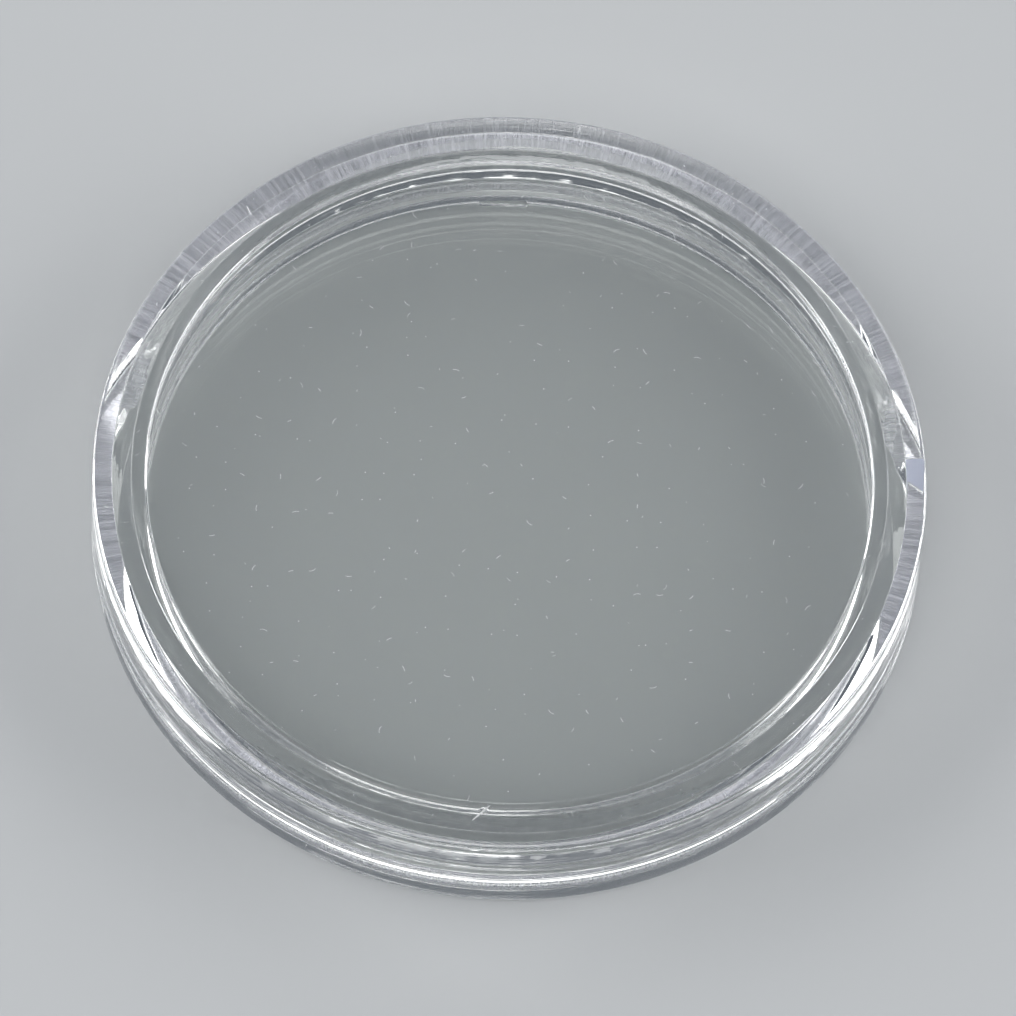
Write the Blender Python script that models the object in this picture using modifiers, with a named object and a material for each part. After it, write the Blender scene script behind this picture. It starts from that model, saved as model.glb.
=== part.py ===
"""Round clear coin capsule, made of a base shell and a lid shell that push together.

Both shells are turned shapes about the Z axis. The capsule stands on the flat
underside of its base at z = 0, and +Z points to the lid. All lengths are in metres.
"""

import math

import bmesh
import bpy
from mathutils import Vector

MM = 0.001

# Overall size
OUTER_RADIUS = 23.0 * MM
TOTAL_HEIGHT = 6.1 * MM

# The round pocket that holds the coin, and the two windows that close it
POCKET_RADIUS = 20.1 * MM
BASE_WINDOW_THICKNESS = 0.95 * MM
LID_WINDOW_THICKNESS = 1.0 * MM
LID_WINDOW_RECESS = 0.3 * MM
RECESS_DRAFT = 0.1 * MM

# The fit between the two shells
PARTING_HEIGHT = 1.3 * MM
FIT_GAP = 0.3 * MM
UPSTAND_HEIGHT = 3.3 * MM
UPSTAND_RADIUS = 21.6 * MM
LEAD_IN = 0.25 * MM
SNAP_HEIGHT = 2.4 * MM
SNAP_HALF_WIDTH = 0.35 * MM
SNAP_DEPTH = 0.12 * MM
SNAP_STEPS = 4

# Edge and corner radii
TOP_EDGE_RADIUS = 0.25 * MM
FOOT_EDGE_RADIUS = 0.2 * MM
SMALL_RADIUS = 0.1 * MM
CORNER_RADIUS = 0.15 * MM
ARC_STEPS = 2

# The opening notch in the lid's skirt, for a fingernail
NOTCH_ANGLE = math.radians(10.3)
NOTCH_LENGTH = 3.2 * MM
NOTCH_HEIGHT = 1.1 * MM
NOTCH_OVERSHOOT = 0.5 * MM

# The trimmed moulding gate left at the foot of the pocket's wall
GATE_ANGLE = math.radians(94.0)
GATE_WIDTH = 2.8 * MM
GATE_DEPTH = 0.3 * MM
GATE_HEIGHT = 0.2 * MM
GATE_BITE = 0.25 * MM

# How finely the turned shells are made
TURN_STEPS = 96
SMOOTH_ANGLE = math.radians(30)

# Heights and radii that follow from the sizes above
LID_WINDOW_TOP = TOTAL_HEIGHT - LID_WINDOW_RECESS
LID_WINDOW_UNDERSIDE = LID_WINDOW_TOP - LID_WINDOW_THICKNESS
SKIRT_BOTTOM = PARTING_HEIGHT + FIT_GAP
SKIRT_RADIUS = UPSTAND_RADIUS + FIT_GAP
SHOULDER_HEIGHT = UPSTAND_HEIGHT + FIT_GAP
RECESS_RADIUS = POCKET_RADIUS - RECESS_DRAFT


def remove_all_objects():
    for item in list(bpy.data.objects):
        bpy.data.objects.remove(item, do_unlink=True)


def new_collection(name):
    collection = bpy.data.collections.new(name)
    bpy.context.scene.collection.children.link(collection)
    return collection


def clear_plastic(name, colour):
    """A water-clear moulded plastic with a slight tint of its own."""
    material = bpy.data.materials.new(name)
    material.use_nodes = True
    shader = material.node_tree.nodes["Principled BSDF"]
    shader.inputs["Base Color"].default_value = colour
    shader.inputs["Roughness"].default_value = 0.06
    shader.inputs["Metallic"].default_value = 0.0
    shader.inputs["IOR"].default_value = 1.59
    shader.inputs["Transmission Weight"].default_value = 1.0
    shader.inputs["Alpha"].default_value = 0.4
    return material


def rounded_corner(before, corner, after, radius):
    """Points along the arc of this radius that replaces a sharp profile corner."""
    to_before = (before - corner).normalized()
    to_after = (after - corner).normalized()
    half_angle = to_before.angle(to_after) / 2
    setback = radius / math.tan(half_angle)
    middle = corner + (to_before + to_after).normalized() * (radius / math.sin(half_angle))
    start = corner + to_before * setback - middle
    end = corner + to_after * setback - middle
    sweep = start.angle(end)
    points = []
    for step in range(ARC_STEPS + 1):
        turned = sweep * step / ARC_STEPS
        spoke = (start * math.sin(sweep - turned) + end * math.sin(turned)) / math.sin(sweep)
        points.append(middle + spoke)
    return points


def profile_points(corners):
    """Turn (radius, height, corner radius) triples into a list of profile points."""
    places = [Vector((radius, height)) for radius, height, _ in corners]
    points = []
    for index, (_, _, corner_radius) in enumerate(corners):
        if corner_radius > 0:
            points += rounded_corner(places[index - 1], places[index], places[index + 1], corner_radius)
        else:
            points.append(places[index])
    return points


def snap_ridge(radius, direction):
    """Profile corners of the low snap ridge, from its top end (direction -1) or its foot."""
    corners = []
    for step in range(SNAP_STEPS + 1):
        along = 2 * step / SNAP_STEPS - 1
        swell = SNAP_DEPTH * math.cos(along * math.pi / 2)
        corners.append((radius + swell, SNAP_HEIGHT + direction * along * SNAP_HALF_WIDTH, 0))
    return corners


def turned_shell(name, corners, collection, material):
    """Spin a profile, given from the axis over its top, down its outside and back, about Z."""
    mesh = bpy.data.meshes.new(name)
    outline = bmesh.new()
    points = [outline.verts.new((point.x, 0, point.y)) for point in profile_points(corners)]
    for first, second in zip(points, points[1:]):
        outline.edges.new((first, second))
    outline.to_mesh(mesh)
    outline.free()
    shell = bpy.data.objects.new(name, mesh)
    collection.objects.link(shell)
    shell.data.materials.append(material)
    screw = shell.modifiers.new("turn", "SCREW")
    screw.axis = "Z"
    screw.angle = math.tau
    screw.steps = TURN_STEPS
    screw.render_steps = TURN_STEPS
    screw.use_merge_vertices = True
    screw.merge_threshold = 0.01 * MM
    return shell


def base_profile():
    return [
        (0, BASE_WINDOW_THICKNESS, 0),
        (POCKET_RADIUS, BASE_WINDOW_THICKNESS, CORNER_RADIUS),
        (POCKET_RADIUS, UPSTAND_HEIGHT, SMALL_RADIUS),
        (UPSTAND_RADIUS - LEAD_IN, UPSTAND_HEIGHT, 0),
        (UPSTAND_RADIUS, UPSTAND_HEIGHT - LEAD_IN, 0),
        *snap_ridge(UPSTAND_RADIUS, -1),
        (UPSTAND_RADIUS, PARTING_HEIGHT, SMALL_RADIUS),
        (OUTER_RADIUS, PARTING_HEIGHT, SMALL_RADIUS),
        (OUTER_RADIUS, 0, FOOT_EDGE_RADIUS),
        (0, 0, 0),
    ]


def lid_profile():
    return [
        (0, LID_WINDOW_TOP, 0),
        (RECESS_RADIUS, LID_WINDOW_TOP, 0),
        (POCKET_RADIUS, TOTAL_HEIGHT, SMALL_RADIUS),
        (OUTER_RADIUS, TOTAL_HEIGHT, TOP_EDGE_RADIUS),
        (OUTER_RADIUS, SKIRT_BOTTOM, SMALL_RADIUS),
        (SKIRT_RADIUS + LEAD_IN, SKIRT_BOTTOM, 0),
        (SKIRT_RADIUS, SKIRT_BOTTOM + LEAD_IN, 0),
        *snap_ridge(SKIRT_RADIUS, 1),
        (SKIRT_RADIUS, SHOULDER_HEIGHT, SMALL_RADIUS),
        (POCKET_RADIUS, SHOULDER_HEIGHT, SMALL_RADIUS),
        (POCKET_RADIUS, LID_WINDOW_UNDERSIDE, CORNER_RADIUS),
        (0, LID_WINDOW_UNDERSIDE, 0),
    ]


def prism(name, outline, low, high, collection):
    """An upright solid over a flat outline, given anticlockwise as (x, y) places."""
    mesh = bpy.data.meshes.new(name)
    solid = bmesh.new()
    floor = solid.faces.new([solid.verts.new((x, y, low)) for x, y in outline])
    raised = bmesh.ops.extrude_face_region(solid, geom=[floor])["geom"]
    lifted = [item for item in raised if isinstance(item, bmesh.types.BMVert)]
    bmesh.ops.translate(solid, vec=(0, 0, high - low), verts=lifted)
    bmesh.ops.recalc_face_normals(solid, faces=solid.faces)
    solid.to_mesh(mesh)
    solid.free()
    cutter = bpy.data.objects.new(name, mesh)
    collection.objects.link(cutter)
    cutter.hide_render = True
    cutter.display_type = "WIRE"
    return cutter


def at_angle(radius, angle):
    return (radius * math.cos(angle), radius * math.sin(angle))


def notch_cutter(collection):
    """A ramp through the skirt wall: full depth at one end, running out at the other."""
    end_angle = NOTCH_ANGLE - NOTCH_LENGTH / OUTER_RADIUS
    outline = [
        at_angle(SKIRT_RADIUS - NOTCH_OVERSHOOT, NOTCH_ANGLE),
        at_angle(OUTER_RADIUS, end_angle),
        at_angle(OUTER_RADIUS + NOTCH_OVERSHOOT, end_angle),
        at_angle(OUTER_RADIUS + NOTCH_OVERSHOOT, NOTCH_ANGLE),
    ]
    low = SKIRT_BOTTOM - NOTCH_OVERSHOOT
    return prism("notch_cutter", outline, low, SKIRT_BOTTOM + NOTCH_HEIGHT, collection)


def gate_tab(collection):
    """The small tab that the trimmed gate leaves on the base's window, at the pocket's wall."""
    spread = GATE_WIDTH / POCKET_RADIUS / 2
    inner = POCKET_RADIUS - GATE_DEPTH
    outer = POCKET_RADIUS + GATE_BITE
    outline = [
        at_angle(inner, GATE_ANGLE - spread),
        at_angle(outer, GATE_ANGLE - spread),
        at_angle(outer, GATE_ANGLE + spread),
        at_angle(inner, GATE_ANGLE + spread),
    ]
    low = BASE_WINDOW_THICKNESS - GATE_BITE
    high = BASE_WINDOW_THICKNESS + GATE_HEIGHT
    return prism("gate_tab", outline, low, high, collection)


def add_boolean(shell, cutter, operation):
    change = shell.modifiers.new(cutter.name, "BOOLEAN")
    change.operation = operation
    change.solver = "EXACT"
    change.object = cutter


def shade_round(shell):
    shell.data.shade_smooth()
    shell.data.set_sharp_from_angle(angle=SMOOTH_ANGLE)


def build_capsule():
    remove_all_objects()
    parts = new_collection("coin_capsule")
    cutters = new_collection("cutters")

    base_plastic = clear_plastic("base_clear_plastic", (0.93, 0.95, 0.97, 1))
    base = turned_shell("base_shell", base_profile(), parts, base_plastic)
    add_boolean(base, gate_tab(cutters), "UNION")
    shade_round(base)

    lid_plastic = clear_plastic("lid_clear_plastic", (0.94, 0.96, 0.97, 1))
    lid = turned_shell("lid_shell", lid_profile(), parts, lid_plastic)
    add_boolean(lid, notch_cutter(cutters), "DIFFERENCE")
    shade_round(lid)


build_capsule()
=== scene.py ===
"""Clear coin capsule: the finished base shell and lid shell, and the stage they stand on.

The shells are turned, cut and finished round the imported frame, in metres, +Z up.
"""

import math

import bpy
from bpy.props import FloatProperty, FloatVectorProperty, IntProperty, PointerProperty
from mathutils import Matrix, Vector


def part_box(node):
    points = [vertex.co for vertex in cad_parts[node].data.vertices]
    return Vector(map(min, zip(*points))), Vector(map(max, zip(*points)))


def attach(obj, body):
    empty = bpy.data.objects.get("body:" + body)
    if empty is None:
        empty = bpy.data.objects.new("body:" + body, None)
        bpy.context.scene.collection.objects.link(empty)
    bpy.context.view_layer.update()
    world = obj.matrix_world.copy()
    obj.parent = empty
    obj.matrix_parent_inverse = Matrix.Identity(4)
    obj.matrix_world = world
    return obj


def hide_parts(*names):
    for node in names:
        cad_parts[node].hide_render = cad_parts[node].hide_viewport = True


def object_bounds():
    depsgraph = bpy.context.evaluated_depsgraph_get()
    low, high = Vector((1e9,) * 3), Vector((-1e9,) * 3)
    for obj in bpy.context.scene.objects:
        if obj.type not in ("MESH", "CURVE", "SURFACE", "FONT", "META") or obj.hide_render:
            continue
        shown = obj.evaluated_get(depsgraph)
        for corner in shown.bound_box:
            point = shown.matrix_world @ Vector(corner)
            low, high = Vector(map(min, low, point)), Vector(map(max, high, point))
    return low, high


bl_info = {
    "name": "Clear Coin Capsule",
    "version": (1, 0, 0),
    "blender": (4, 5, 0),
    "location": "View3D > Sidebar > Coin Capsule",
    "description": "Turns and finishes the two clear shells of a round coin capsule",
    "category": "Add Mesh",
}

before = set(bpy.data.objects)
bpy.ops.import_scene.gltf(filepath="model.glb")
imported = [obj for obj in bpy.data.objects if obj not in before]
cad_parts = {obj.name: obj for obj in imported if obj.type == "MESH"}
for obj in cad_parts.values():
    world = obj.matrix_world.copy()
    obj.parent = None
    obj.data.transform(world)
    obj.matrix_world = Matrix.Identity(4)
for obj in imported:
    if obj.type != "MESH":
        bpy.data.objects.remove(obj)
cad_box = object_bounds()

MM = 0.001
BASE_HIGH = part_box("base_shell")[1]
LID_LOW, LID_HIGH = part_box("lid_shell")

# Radii: the middle of the rim, the two witness lines on its face and the bead on the lid's shoulder.
RIM_MIDDLE = 21.5 * MM
WITNESS_INNER = 20.85 * MM
WITNESS_OUTER = 21.9 * MM
BEAD_RADIUS = 21.05 * MM

# Setbacks of the outlines' rounded corners.
CRISP = 0.03 * MM
EASED = 0.1 * MM
SOFT = 0.2 * MM
POCKET_FOOT = 0.25 * MM
POCKET_CEILING = 0.15 * MM
RECESS_FOOT = 0.04 * MM
RECESS_TOP = 0.08 * MM
LID_EDGE = 0.22 * MM

# Each nick in the lid's rim face: angle in degrees and radius in mm of both ends, and width in mm.
NICKS = (
    (-92.1, 21.3, -89.5, 20.25, 0.09),
    (83.4, 22.7, 83.6, 22.2, 0.08),
    (134.3, 22.4, 134.8, 21.75, 0.08),
    (-77.4, 20.83, -77.2, 20.89, 0.08),
)

# Wear on each outer face. A cell is as wide as the spacing and has one mark at most, and the share says
# how many of the cells have a hairline. Hairlines run from a quarter of the half length either way to a
# little over it. Spacing and half length are in mm.
UNDERSIDE_WEAR = {"spacing": 2.3, "half_length": 0.22, "share": 0.25, "seed": 3}
WINDOW_WEAR = {"spacing": 1.9, "half_length": 0.26, "share": 0.3, "seed": 11}
RIM_WEAR = {"spacing": 1.6, "half_length": 0.14, "share": 0.25, "seed": 29}

# Light mirrored inside the plastic more often than this leaves it straight, or the flange would go black.
MOST_TURNS = 2

# Each soft light: its name, place, width and height in metres, and the setting that gives its power.
LIGHTS = (
    ("key_light", (-0.15, -0.55, 0.75), 0.6, 0.4, "key_power"),
    ("left_light", (-0.9, 0.1, 0.4), 0.9, 0.7, "side_power"),
    ("right_light", (0.9, 0.05, 0.42), 0.9, 0.7, "side_power"),
    ("back_light", (0.05, 0.95, 0.42), 1.3, 0.35, "back_power"),
)
FLOOR_SIZE = 6
FLOOR_HEIGHT = -0.02 * MM
# Where the camera looks, from the middle of the capsule.
AIM_SHIFT = Vector((0.02, -0.27, 0)) * MM


def linear(hex_colour):
    """Turn an sRGB hex colour, such as "c8cacc", into a linear red, green, blue tuple."""
    channels = [int(hex_colour[place:place + 2], 16) / 255 for place in (0, 2, 4)]
    return tuple(c / 12.92 if c <= 0.04045 else ((c + 0.055) / 1.055) ** 2.4 for c in channels)


# ---------------------------------------------------------------- settings


def length(name, description, default):
    """A setting that is a length in metres."""
    return FloatProperty(name=name, description=description, default=default, unit="LENGTH", precision=5)


def colour(name, description, hex_colour):
    """A setting that is a colour."""
    return FloatVectorProperty(
        name=name, description=description, default=linear(hex_colour), size=3, subtype="COLOR", min=0, max=1
    )


def factor(name, description, default, high=1.0):
    """A setting that is a plain number from 0 up."""
    return FloatProperty(name=name, description=description, default=default, min=0, max=high)


def angle(name, description, degrees):
    """A setting that is an angle."""
    return FloatProperty(name=name, description=description, default=math.radians(degrees), subtype="ANGLE")


def power(name, description, watts):
    """A setting that is a lamp's power."""
    return FloatProperty(name=name, description=description, default=watts, unit="POWER")


class CapsuleSizes(bpy.types.PropertyGroup):
    """Sizes of the two shells; the outer radius and three of the heights default to the frame's"""

    outer_radius: length("Outer Radius", "Radius of both rims", LID_HIGH.x)
    total_height: length("Total Height", "Height of the closed capsule", LID_HIGH.z)
    skirt_bottom: length("Skirt Bottom", "Height of the lid skirt's lower face", LID_LOW.z)
    upstand_height: length("Upstand Height", "Height of the base's upstand", BASE_HIGH.z)
    fit_gap: length("Fit Gap", "Gap between the shells, all round the joint", 0.3 * MM)
    pocket_radius: length("Pocket Radius", "Radius of the coin pocket", 20.1 * MM)
    upstand_radius: length("Upstand Radius", "Outer radius of the base's upstand", 21.6 * MM)
    base_window: length("Base Window", "Thickness of the base's window", 0.95 * MM)
    lid_window: length("Lid Window", "Thickness of the lid's window", 1.0 * MM)
    lid_recess: length("Lid Recess", "Depth of the lid's window below its rim", 0.3 * MM)
    recess_draft: length("Recess Draft", "How far the recess wall slopes in", 0.1 * MM)
    lead_in: length("Lead-in", "Chamfer that guides the shells together", 0.25 * MM)
    snap_height: length("Snap Height", "Height of the snap ridge's crest", 2.4 * MM)
    snap_reach: length("Snap Reach", "How far the snap ridge stands out", 0.12 * MM)
    snap_half_width: length("Snap Half Width", "Half the height of the snap ridge", 0.35 * MM)
    bead_half_width: length("Bead Half Width", "Half the width of the bead on the lid's shoulder", 0.13 * MM)
    bead_height: length("Bead Height", "How far the bead's lumps stand out", 0.028 * MM)
    turn_steps: IntProperty(name="Turn Steps", description="Facets round each shell", default=480, min=24)
    arc_steps: IntProperty(name="Arc Steps", description="Facets in each rounded edge", default=5, min=1)


class CapsuleMarks(bpy.types.PropertyGroup):
    """The fingernail notch and the trimmed moulding gate"""

    notch_angle: angle("Notch Angle", "Where the notch is deepest", 10.3)
    notch_length: length("Notch Length", "How far the notch runs round the rim", 3.2 * MM)
    notch_height: length("Notch Height", "How far the notch reaches up the skirt", 1.1 * MM)
    gate_angle: angle("Gate Angle", "Where the gate was trimmed", 94.3)
    gate_width: length("Gate Width", "Width of the trimmed gate", 2.8 * MM)
    gate_depth: length("Gate Depth", "How far the gate reaches in over the window", 0.3 * MM)
    gate_height: length("Gate Height", "How far the gate stands above the window", 0.2 * MM)


class CapsuleFinish(bpy.types.PropertyGroup):
    """The clear plastic and its wear"""

    base_tint: colour("Base Tint", "Colour the base's plastic gives to what is behind it", "fafbfa")
    lid_tint: colour("Lid Tint", "Colour the lid's plastic gives to what is behind it", "fbfcfb")
    index: factor("Refractive Index", "How strongly the plastic bends light", 1.59, 3.0)
    gloss: factor("Gloss Roughness", "Roughness of the polished faces", 0.015)
    haze: factor("Haze Roughness", "Roughness of the faint rings near a window's edge", 0.09)
    satin: factor("Satin Roughness", "Roughness of the faces round the joint", 0.2)
    satin_tint: colour("Satin Tint", "Colour of light scattered in the faces round the joint", "e8e8ee")
    burr_tint: colour("Burr Tint", "Colour of light scattered in a nick", "ececec")
    frost: factor("Frost Roughness", "Roughness of the notch", 0.5)
    frost_tint: colour("Frost Tint", "Colour of light scattered in the notch", "b4b9cc")
    dust: colour("Dust", "Colour of settled dust and scratch burrs", "e6e8e8")
    window_light: colour("Window Light", "Share of a lamp's light that a window's face lets by", "d8d9d9")
    wall_light: colour("Wall Light", "Share of a lamp's light that a wall of the rim lets by", "9a9ca0")
    burr: factor("Burr White", "How white dust and the raised edges of scratches are", 0.1)


class StageSettings(bpy.types.PropertyGroup):
    """Floor, lights and camera"""

    floor: colour("Floor", "Colour of the floor", "b8babb")
    surroundings: colour("Surroundings", "Colour of the room round the stage", "62676f")
    key_power: power("Key Power", "Power of the front light", 2.8)
    side_power: power("Side Power", "Power of each side light", 9.0)
    back_power: power("Back Power", "Power of the back light", 3.4)
    camera_elevation: angle("Camera Elevation", "Angle above the horizon", 61.7)
    camera_roll: angle("Camera Roll", "Turn about the line of sight", 3.9)
    camera_distance: length("Camera Distance", "From the camera to the capsule", 0.7)
    camera_lens: FloatProperty(name="Camera Lens", description="Focal length in mm", default=448.8)


# ---------------------------------------------------------------- modelling


def pick(piece):
    """Select one piece alone and make it the active one."""
    bpy.ops.object.select_all(action="DESELECT")
    bpy.context.view_layer.objects.active = piece
    piece.select_set(True)


def select_where(wanted):
    """In edit mode, select just the vertices whose place passes the test."""
    mesh = bpy.context.object.data
    bpy.ops.mesh.select_mode(type="VERT")
    bpy.ops.mesh.select_all(action="DESELECT")
    bpy.ops.object.mode_set(mode="OBJECT")
    for vertex in mesh.vertices:
        vertex.select = wanted(vertex.co)
    bpy.ops.object.mode_set(mode="EDIT")


def near(place, reach=0.001 * MM):
    """A test for a vertex at one place."""
    return lambda point: (point - place).length < reach


def draw_outline(name, corners):
    """Draw a turned shell's outline by extruding one vertex from corner to corner."""
    places = [Vector((radius, 0, height)) for radius, height, _ in corners]
    bpy.ops.object.select_all(action="DESELECT")
    bpy.ops.mesh.primitive_plane_add(size=MM, location=(0, 0, 0))
    shell = bpy.context.object
    shell.name = name
    shell.data.name = name
    bpy.ops.object.mode_set(mode="EDIT")
    bpy.ops.mesh.select_mode(type="VERT")
    bpy.ops.mesh.select_all(action="SELECT")
    bpy.ops.mesh.merge(type="CENTER")
    bpy.ops.transform.translate(value=places[0])
    for here, there in zip(places, places[1:]):
        bpy.ops.mesh.extrude_vertices_move(TRANSFORM_OT_translate={"value": there - here})
    return shell


def round_corners(corners, steps):
    """Round the outline's corners, each by its own setback."""
    for radius, height, setback in corners:
        if setback > 0:
            select_where(near(Vector((radius, 0, height))))
            bpy.ops.mesh.bevel(
                offset=setback, offset_pct=0, segments=steps, affect="VERTICES", clamp_overlap=True
            )


def turn_shell(name, corners, sizes):
    """Turn an outline about Z into a closed shell."""
    shell = draw_outline(name, corners)
    round_corners(corners, sizes.arc_steps)
    bpy.ops.mesh.select_all(action="SELECT")
    bpy.ops.mesh.spin(steps=sizes.turn_steps, angle=math.tau, center=(0, 0, 0), axis=(0, 0, 1))
    bpy.ops.mesh.select_all(action="SELECT")
    bpy.ops.mesh.remove_doubles(threshold=0.0005 * MM)
    bpy.ops.mesh.normals_make_consistent(inside=False)
    bpy.ops.object.mode_set(mode="OBJECT")
    return shell


def roughen_bead(sizes):
    """Make the bead on the lid's shoulder uneven, as the plastic froze there."""
    reach = 0.02 * MM
    shoulder = sizes.upstand_height + sizes.fit_gap

    def on_bead(point):
        return abs(math.hypot(point.x, point.y) - BEAD_RADIUS) < reach and point.z < shoulder

    bpy.ops.object.mode_set(mode="EDIT")
    select_where(on_bead)
    bpy.ops.transform.vertex_random(offset=sizes.bead_height, uniform=0.0, normal=0.0, seed=5)
    bpy.ops.object.mode_set(mode="OBJECT")


def apply_boolean(shell, tool, operation):
    """Join the tool to the shell or cut it away with the tool's finish, and remove the tool."""
    pick(shell)
    change = shell.modifiers.new("shape", "BOOLEAN")
    change.operation = operation
    change.solver = "EXACT"
    change.material_mode = "TRANSFER"
    change.object = tool
    bpy.ops.object.modifier_apply(modifier=change.name)
    bpy.data.objects.remove(tool, do_unlink=True)


def finish_faces(shell, material, wanted):
    """Give one finish to the faces whose middle passes the test."""
    pick(shell)
    bpy.ops.object.mode_set(mode="EDIT")
    bpy.ops.mesh.select_mode(type="FACE")
    bpy.ops.mesh.select_all(action="DESELECT")
    bpy.ops.object.mode_set(mode="OBJECT")
    for face in shell.data.polygons:
        face.select = wanted(face.center)
    if material.name not in shell.data.materials:
        shell.data.materials.append(material)
    shell.active_material_index = shell.data.materials.find(material.name)
    bpy.ops.object.mode_set(mode="EDIT")
    bpy.ops.object.material_slot_assign()
    bpy.ops.object.mode_set(mode="OBJECT")


def on_level(height, inner, outer):
    """A test for a flat face at a height, between two radii."""
    reach = 0.005 * MM
    return lambda middle: abs(middle.z - height) < reach and inner < math.hypot(middle.x, middle.y) < outer


def smooth_surface(shell):
    """Shade the shell smooth with crisp edges."""
    pick(shell)
    bpy.ops.object.shade_smooth_by_angle(angle=math.radians(32), keep_sharp_edges=True)
    weighted = shell.modifiers.new("flat faces stay flat", "WEIGHTED_NORMAL")
    weighted.mode = "FACE_AREA"
    weighted.weight = 100
    weighted.keep_sharp = True
    bpy.ops.object.modifier_apply(modifier=weighted.name)


def snap_corners(radius, sizes, direction):
    """The snap ridge or groove as three corners, listed upwards (1) or downwards (-1)."""
    half = direction * sizes.snap_half_width
    return [
        (radius, sizes.snap_height - half, EASED),
        (radius + sizes.snap_reach, sizes.snap_height, SOFT),
        (radius, sizes.snap_height + half, EASED),
    ]


def base_outline(sizes):
    """The base's corners, from the middle of its window round to its underside: radius, height, setback."""
    flange_top = sizes.skirt_bottom - sizes.fit_gap
    return [
        (0, sizes.base_window, 0),
        (sizes.pocket_radius, sizes.base_window, POCKET_FOOT),
        (sizes.pocket_radius, sizes.upstand_height, EASED),
        (sizes.upstand_radius - sizes.lead_in, sizes.upstand_height, CRISP),
        (sizes.upstand_radius, sizes.upstand_height - sizes.lead_in, CRISP),
        *snap_corners(sizes.upstand_radius, sizes, -1),
        (sizes.upstand_radius, flange_top, EASED),
        (sizes.outer_radius, flange_top, EASED),
        (sizes.outer_radius, 0, SOFT),
        (0, 0, 0),
    ]


def witness_line(radius, height):
    """A shallow groove round the rim's face, where two mould pieces met."""
    half_width = 0.05 * MM
    depth = 0.03 * MM
    return [(radius - half_width, height, 0), (radius, height - depth, 0), (radius + half_width, height, 0)]


def lid_outline(sizes):
    """The lid's corners, from the middle of its window round to the window's inner face."""
    skirt_radius = sizes.upstand_radius + sizes.fit_gap
    shoulder = sizes.upstand_height + sizes.fit_gap
    window_top = sizes.total_height - sizes.lid_recess
    bead_crest = shoulder - 0.3 * sizes.bead_height
    return [
        (0, window_top, 0),
        (sizes.pocket_radius - sizes.recess_draft, window_top, RECESS_FOOT),
        (sizes.pocket_radius, sizes.total_height, RECESS_TOP),
        *witness_line(WITNESS_INNER, sizes.total_height),
        *witness_line(WITNESS_OUTER, sizes.total_height),
        (sizes.outer_radius, sizes.total_height, LID_EDGE),
        (sizes.outer_radius, sizes.skirt_bottom, EASED),
        (skirt_radius + sizes.lead_in, sizes.skirt_bottom, CRISP),
        (skirt_radius, sizes.skirt_bottom + sizes.lead_in, CRISP),
        *snap_corners(skirt_radius, sizes, 1),
        (skirt_radius, shoulder, EASED),
        (BEAD_RADIUS + sizes.bead_half_width, shoulder, 0),
        (BEAD_RADIUS, bead_crest, 0),
        (BEAD_RADIUS - sizes.bead_half_width, shoulder, 0),
        (sizes.pocket_radius, shoulder, EASED),
        (sizes.pocket_radius, window_top - sizes.lid_window, POCKET_CEILING),
        (0, window_top - sizes.lid_window, 0),
    ]


def notch_tool(sizes, marks):
    """A ramp that cuts the skirt through at one end and runs out at the other."""
    over = 0.5 * MM
    past_skirt = 0.05 * MM
    inner = sizes.upstand_radius + sizes.fit_gap - past_skirt
    outer = sizes.outer_radius + over
    low = sizes.skirt_bottom - over
    high = sizes.skirt_bottom + marks.notch_height
    bpy.ops.object.select_all(action="DESELECT")
    bpy.ops.mesh.primitive_cube_add(
        size=1,
        location=((inner + outer) / 2, -marks.notch_length / 2, (low + high) / 2),
        scale=(outer - inner, marks.notch_length, high - low),
    )
    tool = bpy.context.object
    bpy.ops.object.transform_apply(location=True, rotation=False, scale=True)
    bpy.ops.object.mode_set(mode="EDIT")
    select_where(lambda point: point.x < sizes.outer_radius and point.y < -marks.notch_length / 2)
    bpy.ops.transform.translate(value=(sizes.outer_radius - inner, 0, 0))
    select_where(lambda point: point.z > (low + high) / 2)
    bpy.ops.mesh.bevel(offset=0.08 * MM, offset_pct=0, segments=3, affect="EDGES")
    bpy.ops.object.mode_set(mode="OBJECT")
    tool.rotation_euler.z = marks.notch_angle
    bpy.ops.object.transform_apply(location=False, rotation=True, scale=False)
    return tool


def nick_tool(nick, height):
    """A slim spindle, half sunk in the rim's face, that cuts one nick."""
    start_angle, start_radius, end_angle, end_radius, width = nick
    start = Matrix.Rotation(math.radians(start_angle), 3, "Z") @ Vector((start_radius * MM, 0, 0))
    end = Matrix.Rotation(math.radians(end_angle), 3, "Z") @ Vector((end_radius * MM, 0, 0))
    run = end - start
    middle = (start + end) / 2
    bpy.ops.mesh.primitive_uv_sphere_add(
        segments=10,
        ring_count=8,
        radius=1,
        location=(middle.x, middle.y, height),
        rotation=(0, math.radians(90), math.atan2(run.y, run.x)),
        scale=(0.5 * width * MM, 0.5 * width * MM, run.length / 2),
    )
    bpy.ops.object.transform_apply(location=True, rotation=True, scale=True)
    return bpy.context.object


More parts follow.
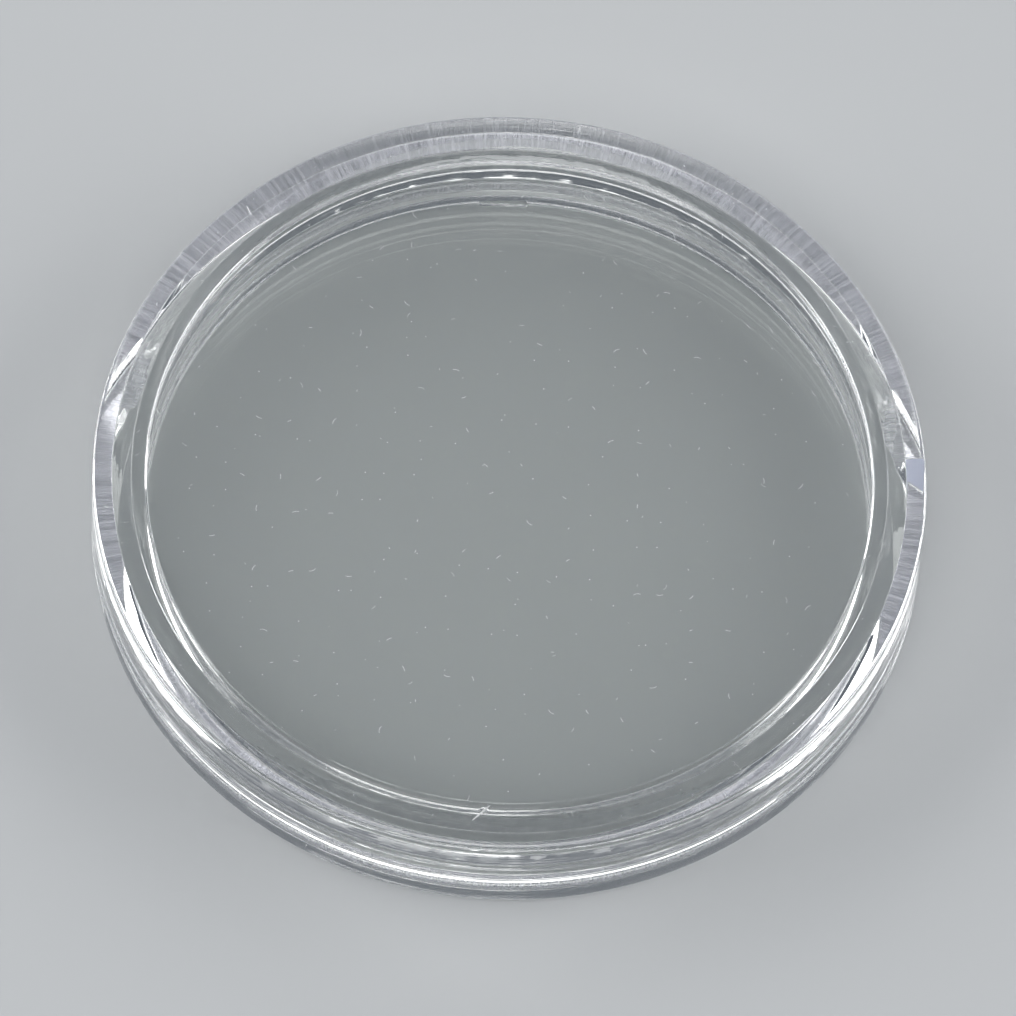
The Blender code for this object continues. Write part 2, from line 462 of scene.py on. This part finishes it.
def gate_tool(sizes, marks):
    """The trimmed gate: a low tab with torn corners, sunk a little into the pocket's wall."""
    bite = 0.25 * MM
    torn_off = (0.12 * MM, -0.15 * MM, 0)
    torn_from = 0.8 * marks.gate_width / 2
    inner = sizes.pocket_radius - marks.gate_depth
    outer = sizes.pocket_radius + bite
    low = sizes.base_window - bite
    high = sizes.base_window + marks.gate_height
    bpy.ops.object.select_all(action="DESELECT")
    bpy.ops.mesh.primitive_cube_add(
        size=1,
        location=((inner + outer) / 2, 0, (low + high) / 2),
        scale=(outer - inner, marks.gate_width, high - low),
    )
    tool = bpy.context.object
    bpy.ops.object.transform_apply(location=True, rotation=False, scale=True)
    bpy.ops.object.mode_set(mode="EDIT")
    select_where(lambda point: point.z > sizes.base_window and point.x < sizes.pocket_radius)
    bpy.ops.mesh.bevel(offset=0.06 * MM, offset_pct=0, segments=3, affect="EDGES")
    select_where(lambda point: point.y > torn_from and point.x < sizes.pocket_radius)
    bpy.ops.transform.translate(value=torn_off)
    bpy.ops.mesh.select_all(action="SELECT")
    bpy.ops.mesh.subdivide(number_cuts=3)
    bpy.ops.transform.vertex_random(offset=0.05 * MM, uniform=0.0, normal=0.0, seed=2)
    bpy.ops.object.mode_set(mode="OBJECT")
    tool.rotation_euler.z = marks.gate_angle
    bpy.ops.object.transform_apply(location=False, rotation=True, scale=False)
    return tool


# ---------------------------------------------------------------- materials


def add_node(tree, kind, settings=None, values=None, links=None):
    """Add a node with its settings and its sockets' values, and link its sockets to nodes or outputs."""
    made = tree.nodes.new(kind)
    for key, value in (settings or {}).items():
        setattr(made, key, value)
    for key, value in (values or {}).items():
        made.inputs[key].default_value = value
    for key, source in (links or {}).items():
        output = source if isinstance(source, bpy.types.NodeSocket) else source.outputs[0]
        tree.links.new(output, made.inputs[key])
    return made


def new_tree(name):
    """A new material and its empty node tree."""
    material = bpy.data.materials.new(name)
    material.use_nodes = True
    material.node_tree.nodes.clear()
    return material, material.node_tree


def round_noise(tree, along_rim, along_radius, along_height, detail):
    """Noise drawn out along the rim, the radius or the height, by a size in mm for each, without a seam."""
    place = add_node(tree, "ShaderNodeTexCoord").outputs["Object"]
    split = add_node(tree, "ShaderNodeSeparateXYZ", links={0: place})
    flat = add_node(tree, "ShaderNodeCombineXYZ", links={0: split.outputs["X"], 1: split.outputs["Y"]})
    radius = add_node(tree, "ShaderNodeVectorMath", {"operation": "LENGTH"}, links={0: flat})
    direction = add_node(tree, "ShaderNodeVectorMath", {"operation": "NORMALIZE"}, links={0: flat})
    turned = add_node(
        tree,
        "ShaderNodeVectorMath",
        {"operation": "SCALE"},
        {"Scale": RIM_MIDDLE / (along_rim * MM)},
        {0: direction},
    )
    out = add_node(
        tree, "ShaderNodeMath", {"operation": "DIVIDE"}, {1: along_radius * MM}, {0: radius.outputs["Value"]}
    )
    up = add_node(
        tree,
        "ShaderNodeMath",
        {"operation": "MULTIPLY_ADD"},
        {1: 1 / (along_height * MM)},
        {0: split.outputs["Z"], 2: out},
    )
    rise = add_node(tree, "ShaderNodeCombineXYZ", links={2: up})
    spot = add_node(tree, "ShaderNodeVectorMath", {"operation": "ADD"}, links={0: turned, 1: rise})
    values = {"Scale": 1.0, "Detail": detail}
    return add_node(tree, "ShaderNodeTexNoise", values=values, links={"Vector": spot})


def hairlines_and_dust(tree, spacing, half_length, share, seed):
    """Separate marks on a flat face, at most one to a cell: short curved hairlines, and specks of dust.

    Spacing and half length are in mm. A real hairline is 0.01 mm wide and is drawn 0.04 mm wide, so that
    it shows.
    """
    half_width = 0.02 * MM
    most_bend = 0.4 / (half_length * MM)
    shortest = 0.25 * half_length * MM
    speck_radius = 0.045 / spacing
    speck_from = 0.65
    place = add_node(tree, "ShaderNodeTexCoord").outputs["Object"]
    shifted = add_node(
        tree, "ShaderNodeVectorMath", {"operation": "ADD"}, {1: (seed * MM, 2 * seed * MM, 0)}, {0: place}
    )
    cells = add_node(
        tree,
        "ShaderNodeTexVoronoi",
        {"voronoi_dimensions": "2D"},
        {"Scale": 1 / (spacing * MM), "Randomness": 0.7},
        {"Vector": shifted},
    )
    centre = cells.outputs["Position"]
    chance = add_node(tree, "ShaderNodeSeparateColor", links={0: cells.outputs["Color"]})
    turn_chance, kind_chance, size_chance = chance.outputs[:3]
    offset = add_node(
        tree, "ShaderNodeVectorMath", {"operation": "SUBTRACT"}, links={0: shifted, 1: centre}
    )
    turn = add_node(tree, "ShaderNodeMath", {"operation": "MULTIPLY"}, {1: math.tau}, {0: turn_chance})
    laid = add_node(
        tree, "ShaderNodeVectorRotate", {"rotation_type": "Z_AXIS"}, links={"Vector": offset, "Angle": turn}
    )
    split = add_node(tree, "ShaderNodeSeparateXYZ", links={0: laid})
    along_line, off_line = split.outputs[:2]
    squared = add_node(
        tree, "ShaderNodeMath", {"operation": "MULTIPLY"}, links={0: along_line, 1: along_line}
    )
    bend = add_node(tree, "ShaderNodeMath", {"operation": "MULTIPLY"}, {1: most_bend}, {0: size_chance})
    curved = add_node(
        tree, "ShaderNodeMath", {"operation": "MULTIPLY_ADD"}, links={0: squared, 1: bend, 2: off_line}
    )
    across = add_node(tree, "ShaderNodeMath", {"operation": "DIVIDE"}, {1: half_width}, {0: curved})
    reach = add_node(
        tree,
        "ShaderNodeMath",
        {"operation": "MULTIPLY_ADD"},
        {1: half_length * MM, 2: shortest},
        {0: size_chance},
    )
    along = add_node(tree, "ShaderNodeMath", {"operation": "DIVIDE"}, links={0: along_line, 1: reach})
    across_size = add_node(tree, "ShaderNodeMath", {"operation": "ABSOLUTE"}, links={0: across})
    along_size = add_node(tree, "ShaderNodeMath", {"operation": "ABSOLUTE"}, links={0: along})
    from_line = add_node(
        tree, "ShaderNodeMath", {"operation": "MAXIMUM"}, links={0: across_size, 1: along_size}
    )
    line = add_node(
        tree,
        "ShaderNodeMapRange",
        values={"From Min": 0.4, "From Max": 1.0, "To Min": 1.0, "To Max": 0.0},
        links={"Value": from_line},
    )
    spot = add_node(
        tree,
        "ShaderNodeMapRange",
        values={"From Min": 0.5 * speck_radius, "From Max": speck_radius, "To Min": 1.0, "To Max": 0.0},
        links={"Value": cells.outputs["Distance"]},
    )
    has_line = add_node(tree, "ShaderNodeMath", {"operation": "LESS_THAN"}, {1: share}, {0: kind_chance})
    has_speck = add_node(
        tree, "ShaderNodeMath", {"operation": "GREATER_THAN"}, {1: speck_from}, {0: kind_chance}
    )
    lines = add_node(tree, "ShaderNodeMath", {"operation": "MULTIPLY"}, links={0: line, 1: has_line})
    specks = add_node(tree, "ShaderNodeMath", {"operation": "MULTIPLY"}, links={0: spot, 1: has_speck})
    return add_node(tree, "ShaderNodeMath", {"operation": "MAXIMUM"}, links={0: lines, 1: specks})


def finish_plastic(material, finish, lamp_tint, values, links):
    """Clear plastic that bends what the eye sees through it, and lets the lamps' light through unbent.

    A lamp's light keeps only the share in lamp_tint at each face, which gives the shells their shadow.
    """
    tree = material.node_tree
    plastic = add_node(
        tree, "ShaderNodeBsdfPrincipled", values={"Metallic": 0.0, "IOR": finish.index, **values}, links=links
    )
    rays = add_node(tree, "ShaderNodeLightPath")
    open_to_lamps = add_node(tree, "ShaderNodeBsdfTransparent", values={"Color": (*lamp_tint, 1)})
    lit = add_node(
        tree, "ShaderNodeMixShader", links={0: rays.outputs["Is Shadow Ray"], 1: plastic, 2: open_to_lamps}
    )
    turns = rays.outputs["Glossy Depth"]
    trapped = add_node(tree, "ShaderNodeMath", {"operation": "GREATER_THAN"}, {1: MOST_TURNS}, {0: turns})
    let_out = add_node(tree, "ShaderNodeBsdfTransparent", values={"Color": (1, 1, 1, 1)})
    surface = add_node(tree, "ShaderNodeMixShader", links={0: trapped, 1: lit, 2: let_out})
    add_node(tree, "ShaderNodeOutputMaterial", links={"Surface": surface})
    return material


def turned_polystyrene(name, tint, finish):
    """Crystal polystyrene moulded against a turned and polished steel wall.

    It is water-clear and glossy, and the eye sees the tool's fine turning lines run round it.
    """
    material, tree = new_tree(name)
    lines = round_noise(tree, along_rim=9.0, along_radius=0.12, along_height=0.14, detail=1.0)
    bump = add_node(
        tree, "ShaderNodeBump", values={"Strength": 1.0, "Distance": 0.006 * MM}, links={"Height": lines}
    )
    return finish_plastic(
        material,
        finish,
        finish.wall_light,
        {"Base Color": (*tint, 1), "Roughness": finish.gloss, "Transmission Weight": 1.0},
        {"Normal": bump},
    )


def worn_polystyrene(name, tint, finish, spacing, half_length, share, seed):
    """Crystal polystyrene on an outer face: handling leaves hairlines, and its static draws dust."""
    mark_rough = 0.5
    material, tree = new_tree(name)
    marks = hairlines_and_dust(tree, spacing, half_length, share, seed)
    white = add_node(tree, "ShaderNodeMath", {"operation": "MULTIPLY"}, {1: finish.burr}, {0: marks})
    mixed = add_node(
        tree,
        "ShaderNodeMix",
        {"data_type": "RGBA"},
        {"A": (*tint, 1), "B": (*finish.dust, 1)},
        {"Factor": white},
    )
    clear = add_node(tree, "ShaderNodeMath", {"operation": "SUBTRACT"}, {0: 1.0}, {1: white})
    rough = add_node(
        tree, "ShaderNodeMath", {"operation": "MULTIPLY_ADD"}, {1: mark_rough, 2: finish.gloss}, {0: marks}
    )
    return finish_plastic(
        material,
        finish,
        finish.window_light,
        {},
        {"Base Color": mixed.outputs["Result"], "Transmission Weight": clear, "Roughness": rough},
    )


def ringed_polystyrene(name, tint, finish, sizes):
    """Crystal polystyrene on a window's inner face: untouched, with faint flow rings near its edge."""
    ring_spacing = 0.5 * MM
    ringed_width = 4 * MM
    material, tree = new_tree(name)
    place = add_node(tree, "ShaderNodeTexCoord").outputs["Object"]
    flat = add_node(tree, "ShaderNodeVectorMath", {"operation": "MULTIPLY"}, {1: (1, 1, 0)}, {0: place})
    radius = add_node(tree, "ShaderNodeVectorMath", {"operation": "LENGTH"}, links={0: flat}).outputs["Value"]
    rings = add_node(
        tree,
        "ShaderNodeTexNoise",
        {"noise_dimensions": "1D"},
        {"Scale": 1 / ring_spacing, "Detail": 1.0},
        {"W": radius},
    )
    edge = add_node(
        tree,
        "ShaderNodeMapRange",
        values={
            "From Min": sizes.pocket_radius - ringed_width,
            "From Max": sizes.pocket_radius,
            "To Max": finish.haze,
        },
        links={"Value": radius},
    )
    rough = add_node(
        tree, "ShaderNodeMath", {"operation": "MULTIPLY_ADD"}, {2: finish.gloss}, {0: rings, 1: edge}
    )
    return finish_plastic(
        material,
        finish,
        finish.window_light,
        {"Base Color": (*tint, 1), "Transmission Weight": 1.0},
        {"Roughness": rough},
    )


def satin_polystyrene(name, finish):
    """Crystal polystyrene moulded against lightly spark-eroded steel, on the faces round the joint.

    The eye sees them through the glossy rim as a streaky grey band with short fibres across it.
    The texture is 0.03 mm, too fine to show, and is drawn 0.12 mm wide.
    """
    material, tree = new_tree(name)
    fibres = round_noise(tree, along_rim=0.12, along_radius=0.9, along_height=0.9, detail=2.0)
    clear = add_node(
        tree,
        "ShaderNodeMapRange",
        values={"From Min": 0.35, "From Max": 0.65, "To Min": 0.6, "To Max": 1.0},
        links={"Value": fibres},
    )
    bump = add_node(
        tree, "ShaderNodeBump", values={"Strength": 1.0, "Distance": 0.03 * MM}, links={"Height": fibres}
    )
    return finish_plastic(
        material,
        finish,
        finish.wall_light,
        {"Base Color": (*finish.satin_tint, 1), "Roughness": finish.satin},
        {"Transmission Weight": clear, "Normal": bump},
    )


def frosted_polystyrene(name, tint, finish):
    """Crystal polystyrene where it was cut or scratched: the broken surface scatters light evenly."""
    pit_size = 0.15 * MM
    material, tree = new_tree(name)
    place = add_node(tree, "ShaderNodeTexCoord").outputs["Object"]
    pits = add_node(
        tree, "ShaderNodeTexNoise", values={"Scale": 1 / pit_size, "Detail": 1.0}, links={"Vector": place}
    )
    clear = add_node(
        tree, "ShaderNodeMapRange", values={"To Min": 0.15, "To Max": 0.45}, links={"Value": pits}
    )
    return finish_plastic(
        material,
        finish,
        finish.wall_light,
        {"Base Color": (*tint, 1), "Roughness": finish.frost},
        {"Transmission Weight": clear},
    )


def painted_board(settings):
    """Matt emulsion rolled on a smooth board: even, and without a highlight."""
    roller_grain = 1.5 * MM
    material, tree = new_tree("painted_board")
    place = add_node(tree, "ShaderNodeTexCoord").outputs["Object"]
    roller = add_node(
        tree, "ShaderNodeTexNoise", values={"Scale": 1 / roller_grain, "Detail": 3.0}, links={"Vector": place}
    )
    bump = add_node(
        tree, "ShaderNodeBump", values={"Strength": 0.1, "Distance": 0.02 * MM}, links={"Height": roller}
    )
    shader = add_node(
        tree,
        "ShaderNodeBsdfPrincipled",
        values={"Base Color": (*settings.floor, 1), "Roughness": 0.85, "Specular IOR Level": 0.2},
        links={"Normal": bump},
    )
    add_node(tree, "ShaderNodeOutputMaterial", links={"Surface": shader})
    return material


# ---------------------------------------------------------------- operators


class CAPSULE_OT_base_shell(bpy.types.Operator):
    """Turn the base shell, join the trimmed gate to it and finish it"""

    bl_idname = "capsule.base_shell"
    bl_label = "Base Shell"

    def execute(self, context):
        scene = context.scene
        sizes = scene.capsule_sizes
        finish = scene.capsule_finish
        shell = turn_shell("base_shell_clear", base_outline(sizes), sizes)
        turned = turned_polystyrene("base_turned_polystyrene", finish.base_tint, finish)
        shell.data.materials.append(turned)
        gate = gate_tool(sizes, scene.capsule_marks)
        gate.data.materials.append(turned)
        apply_boolean(shell, gate, "UNION")
        worn = worn_polystyrene("base_worn_polystyrene", finish.base_tint, finish, **UNDERSIDE_WEAR)
        finish_faces(shell, worn, on_level(0, 0, sizes.outer_radius))
        ringed = ringed_polystyrene("base_ringed_polystyrene", finish.base_tint, finish, sizes)
        finish_faces(shell, ringed, on_level(sizes.base_window, 0, sizes.pocket_radius))
        satin = satin_polystyrene("base_satin_polystyrene", finish)
        flange_top = sizes.skirt_bottom - sizes.fit_gap
        finish_faces(shell, satin, on_level(flange_top, sizes.upstand_radius, sizes.outer_radius))
        smooth_surface(shell)
        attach(shell, "base")
        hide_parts("base_shell")
        return {"FINISHED"}


class CAPSULE_OT_lid_shell(bpy.types.Operator):
    """Turn the lid shell, cut the fingernail notch and the nicks, and finish it"""

    bl_idname = "capsule.lid_shell"
    bl_label = "Lid Shell"

    def execute(self, context):
        scene = context.scene
        sizes = scene.capsule_sizes
        finish = scene.capsule_finish
        shell = turn_shell("lid_shell_clear", lid_outline(sizes), sizes)
        turned = turned_polystyrene("lid_turned_polystyrene", finish.lid_tint, finish)
        shell.data.materials.append(turned)
        roughen_bead(sizes)
        nicked = frosted_polystyrene("lid_nicked_polystyrene", finish.burr_tint, finish)
        cutter = notch_tool(sizes, scene.capsule_marks)
        cutter.data.materials.append(turned)
        nicks = [nick_tool(nick, sizes.total_height) for nick in NICKS]
        for nick in nicks:
            nick.data.materials.append(nicked)
            nick.select_set(True)
        cutter.select_set(True)
        bpy.context.view_layer.objects.active = cutter
        bpy.ops.object.join()
        apply_boolean(shell, cutter, "DIFFERENCE")
        window_top = sizes.total_height - sizes.lid_recess
        worn = worn_polystyrene("lid_worn_polystyrene", finish.lid_tint, finish, **WINDOW_WEAR)
        finish_faces(shell, worn, on_level(window_top, 0, sizes.pocket_radius))
        scuffed = worn_polystyrene("lid_scuffed_polystyrene", finish.lid_tint, finish, **RIM_WEAR)
        finish_faces(shell, scuffed, on_level(sizes.total_height, sizes.pocket_radius, sizes.outer_radius))
        ringed = ringed_polystyrene("lid_ringed_polystyrene", finish.lid_tint, finish, sizes)
        finish_faces(shell, ringed, on_level(window_top - sizes.lid_window, 0, sizes.pocket_radius))
        frosted = frosted_polystyrene("lid_frosted_polystyrene", finish.frost_tint, finish)
        notch_top = sizes.skirt_bottom + scene.capsule_marks.notch_height
        finish_faces(shell, frosted, on_level(notch_top, sizes.upstand_radius, sizes.outer_radius))
        satin = satin_polystyrene("lid_satin_polystyrene", finish)
        finish_faces(shell, satin, on_level(sizes.skirt_bottom, sizes.upstand_radius, sizes.outer_radius))
        smooth_surface(shell)
        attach(shell, "lid")
        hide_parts("lid_shell")
        return {"FINISHED"}


def add_softbox(name, place, width, height, watts):
    """A rectangular soft light that faces the capsule."""
    bpy.ops.object.select_all(action="DESELECT")
    bpy.ops.object.light_add(type="AREA", location=place)
    lamp = bpy.context.object
    lamp.name = name
    lamp.data.name = name
    lamp.data.shape = "RECTANGLE"
    lamp.data.size = width
    lamp.data.size_y = height
    lamp.data.energy = watts
    lamp.rotation_euler = (-Vector(place)).to_track_quat("-Z", "Y").to_euler()


def add_camera(settings, target):
    """A long lens, well above the capsule and rolled a little."""
    elevation = settings.camera_elevation
    forward = Vector((0, math.cos(elevation), -math.sin(elevation)))
    right = Vector((1, 0, 0))
    up = right.cross(forward)
    roll = settings.camera_roll
    across = right * math.cos(roll) + up * math.sin(roll)
    upright = up * math.cos(roll) - right * math.sin(roll)
    bpy.ops.object.camera_add()
    camera = bpy.context.object
    camera.name = "capsule_camera"
    camera.data.lens = settings.camera_lens
    camera.data.sensor_width = 36
    camera.data.clip_start = 0.01
    turned = Matrix((across, upright, -forward)).transposed().to_4x4()
    turned.translation = target - forward * settings.camera_distance
    camera.matrix_world = turned
    bpy.context.scene.camera = camera


class CAPSULE_OT_stage(bpy.types.Operator):
    """Lay the floor, hang the soft lights and set up the camera"""

    bl_idname = "capsule.stage"
    bl_label = "Stage"

    def execute(self, context):
        settings = context.scene.capsule_stage
        bpy.ops.object.select_all(action="DESELECT")
        bpy.ops.mesh.primitive_plane_add(size=FLOOR_SIZE, location=(0, 0, FLOOR_HEIGHT))
        floor = context.object
        floor.name = "floor"
        floor.data.materials.append(painted_board(settings))
        world = bpy.data.worlds.new("room")
        world.use_nodes = True
        world.node_tree.nodes["Background"].inputs["Color"].default_value = (*settings.surroundings, 1)
        context.scene.world = world
        context.scene.view_settings.view_transform = "Standard"
        for name, place, width, height, watts in LIGHTS:
            add_softbox(name, place, width, height, getattr(settings, watts))
        add_camera(settings, (cad_box[0] + cad_box[1]) / 2 + AIM_SHIFT)
        return {"FINISHED"}


class CAPSULE_PT_panel(bpy.types.Panel):
    """Coin capsule tools"""

    bl_label = "Coin Capsule"
    bl_idname = "CAPSULE_PT_panel"
    bl_space_type = "VIEW_3D"
    bl_region_type = "UI"
    bl_category = "Coin Capsule"

    def draw(self, context):
        column = self.layout.column()
        for step in STEPS:
            column.operator(f"capsule.{step}")
        for _, group in GROUPS:
            settings = getattr(context.scene, group)
            for key in settings.bl_rna.properties.keys():
                if key not in ("rna_type", "name"):
                    column.prop(settings, key)


STEPS = ("stage", "base_shell", "lid_shell")
GROUPS = (
    (CapsuleSizes, "capsule_sizes"),
    (CapsuleMarks, "capsule_marks"),
    (CapsuleFinish, "capsule_finish"),
    (StageSettings, "capsule_stage"),
)
CLASSES = (
    *(group for group, _ in GROUPS),
    CAPSULE_OT_stage,
    CAPSULE_OT_base_shell,
    CAPSULE_OT_lid_shell,
    CAPSULE_PT_panel,
)


def register():
    for item in CLASSES:
        bpy.utils.register_class(item)
    for group, name in GROUPS:
        setattr(bpy.types.Scene, name, PointerProperty(type=group))


def unregister():
    for _, name in reversed(GROUPS):
        delattr(bpy.types.Scene, name)
    for item in reversed(CLASSES):
        bpy.utils.unregister_class(item)


def main():
    register()
    for step in STEPS:
        getattr(bpy.ops.capsule, step)()


if __name__ == "__main__":
    main()
